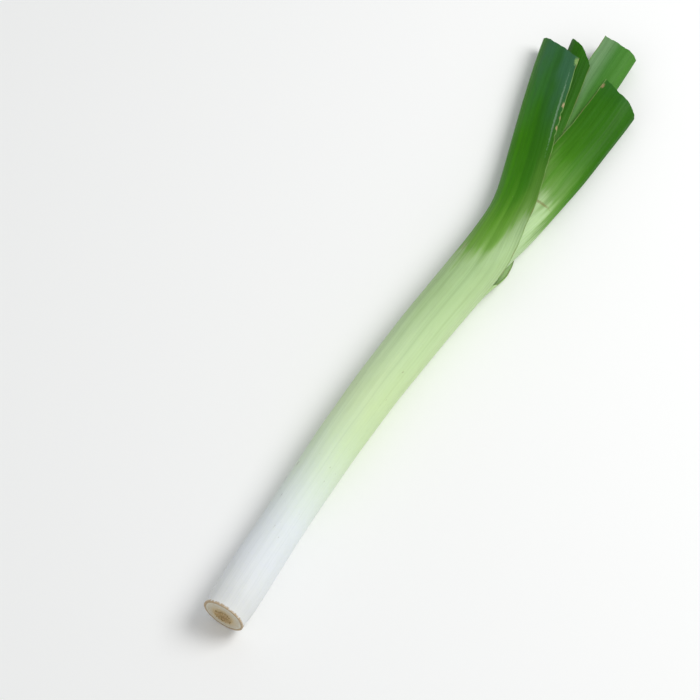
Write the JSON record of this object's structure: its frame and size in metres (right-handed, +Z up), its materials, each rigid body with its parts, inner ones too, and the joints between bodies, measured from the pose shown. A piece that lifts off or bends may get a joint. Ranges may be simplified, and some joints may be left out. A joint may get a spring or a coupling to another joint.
{
  "type": "leek",
  "caption": "Trimmed leek lying on its side: nested leaves on a root plate, white shaft bowing gently into a fan of folded green blades.",
  "frame": {"origin": "on the ground, at the centre of the object's footprint", "axes": "+X from the root end to the leaf tips, +Z up, +Y to the side of the outermost leaf's blade"},
  "size_m": [0.438, 0.0734, 0.0289],
  "materials": {
    "outer_leaf": "waxy fibrous leaf, white at the root through pale green to deep blue-green at the tips",
    "inner_leaf": "satin pale yellow-green young leaf",
    "root_stem": "dry cut stem, tan with a brown centre"
  },
  "bodies": {
    "root": {"root_plate": "root_stem", "leaf_1_outer": "outer_leaf", "leaf_2": "outer_leaf", "leaf_3": "outer_leaf", "leaf_4": "outer_leaf", "leaf_5": "inner_leaf", "leaf_6": "inner_leaf", "heart_leaf": "inner_leaf"}
  },
  "joints": []
}
